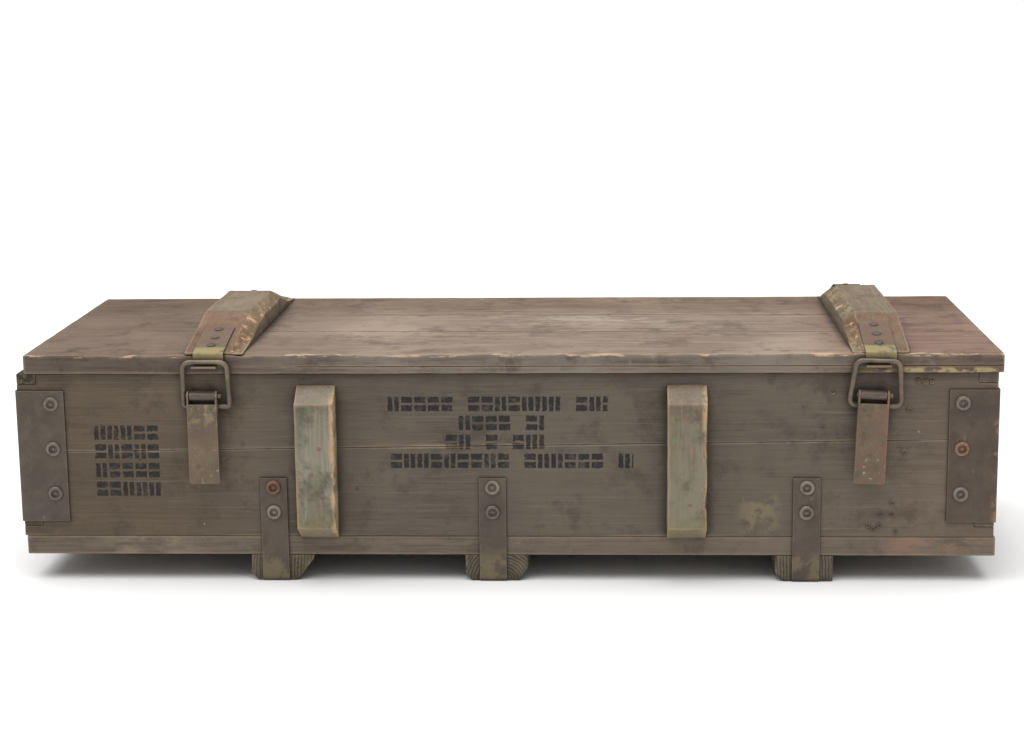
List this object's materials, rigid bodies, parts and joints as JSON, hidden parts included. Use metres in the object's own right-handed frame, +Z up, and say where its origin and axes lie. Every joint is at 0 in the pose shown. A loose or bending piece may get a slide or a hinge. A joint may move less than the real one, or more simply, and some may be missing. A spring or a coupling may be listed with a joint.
{
  "type": "shipping crate",
  "caption": "Long, low wooden shipping crate with a hinged lid, lever latches, steel corner plates, strapped skids and cradle boards inside.",
  "frame": {"origin": "centre of the footprint, on the ground under the skids", "axes": "+X along the length, to the right of someone facing the latches; +Y to the back, where the hinges are; +Z up"},
  "size_m": [1.0486, 0.4006, 0.267],
  "materials": {
    "box_wood": "old matt paint, brush and grain marks",
    "lid_wood": "faded paint worn to the wood at the edges",
    "batten_wood": "thin green paint, chipped at the corners",
    "bare_wood": "planed, unpainted",
    "strap_steel": "painted over with the box",
    "latch_steel": "worn paint with a little rust",
    "fastener_steel": "painted, rusted where the paint has gone",
    "nail_steel": "dull, weathered"
  },
  "bodies": {
    "box": {"back_batten_left": "batten_wood", "back_batten_right": "batten_wood", "back_plank_lower": "box_wood", "back_plank_upper": "box_wood", "corner_plate_back_left": "strap_steel", "corner_plate_back_right": "strap_steel", "corner_plate_fasteners": "fastener_steel", "corner_plate_front_left": "strap_steel", "corner_plate_front_right": "strap_steel", "cradle_left": "bare_wood", "cradle_right": "bare_wood", "end_handle_left": "box_wood", "end_handle_right": "box_wood", "end_handle_screws": "fastener_steel", "floor_board_1": "box_wood", "floor_board_2": "box_wood", "floor_board_3": "box_wood", "front_batten_left": "batten_wood", "front_batten_right": "batten_wood", "front_plank_lower": "box_wood", "front_plank_upper": "box_wood", "hinge_box_leaf_left": "latch_steel", "hinge_box_leaf_right": "latch_steel", "hinge_box_screws": "fastener_steel", "hinge_pin_left": "latch_steel", "hinge_pin_right": "latch_steel", "latch_base_left": "latch_steel", "latch_base_right": "latch_steel", "latch_base_screws": "fastener_steel", "latch_pin_left": "latch_steel", "latch_pin_right": "latch_steel", "left_end_plank_lower": "box_wood", "left_end_plank_upper": "box_wood", "right_end_plank_lower": "box_wood", "right_end_plank_upper": "box_wood", "side_batten_nails": "nail_steel", "skid_left": "box_wood", "skid_middle": "box_wood", "skid_right": "box_wood", "skid_strap_fasteners": "fastener_steel", "skid_strap_left": "strap_steel", "skid_strap_middle": "strap_steel", "skid_strap_right": "strap_steel"},
    "lid": {"hinge_lid_leaf_left": "latch_steel", "hinge_lid_leaf_right": "latch_steel", "hinge_lid_screws": "fastener_steel", "lid_batten_left": "lid_wood", "lid_batten_nails": "nail_steel", "lid_batten_right": "lid_wood", "lid_hook_left": "latch_steel", "lid_hook_right": "latch_steel", "lid_hook_screws": "fastener_steel", "lid_plank_back": "lid_wood", "lid_plank_front": "lid_wood", "lid_plank_middle": "lid_wood"},
    "lever_left": {"latch_lever_left": "latch_steel"},
    "lever_right": {"latch_lever_right": "latch_steel"},
    "bail_left": {"latch_bail_left": "latch_steel"},
    "bail_right": {"latch_bail_right": "latch_steel"}
  },
  "joints": [
    {"name": "lid_hinge", "type": "hinge", "parent": "box", "child": "lid", "pos_m": [0.0067, 0.186, 0.221], "axis": [-1, 0, 0], "range_deg": [0, 110]},
    {"name": "latch_lever_left_swing", "type": "hinge", "parent": "box", "child": "lever_left", "pos_m": [-0.3077, -0.183, 0.1986], "axis": [-1, 0, 0], "range_deg": [0, 135]},
    {"name": "latch_bail_left_turn", "type": "hinge", "parent": "lever_left", "child": "bail_left", "pos_m": [-0.3077, -0.1808, 0.1874], "axis": [1, 0, 0], "range_deg": [0, 155.25]},
    {"name": "latch_lever_right_swing", "type": "hinge", "parent": "box", "child": "lever_right", "pos_m": [0.3762, -0.183, 0.1986], "axis": [-0.9993, 0, 0.0366], "range_deg": [0, 135]},
    {"name": "latch_bail_right_turn", "type": "hinge", "parent": "lever_right", "child": "bail_right", "pos_m": [0.37579, -0.1808, 0.18741], "axis": [0.9993, 0, -0.0366], "range_deg": [0, 155.25]}
  ],
  "couplings": [
    {"joint": "latch_bail_left_turn", "follows": "latch_lever_left_swing", "ratio": 1.15},
    {"joint": "latch_bail_right_turn", "follows": "latch_lever_right_swing", "ratio": 1.15}
  ]
}
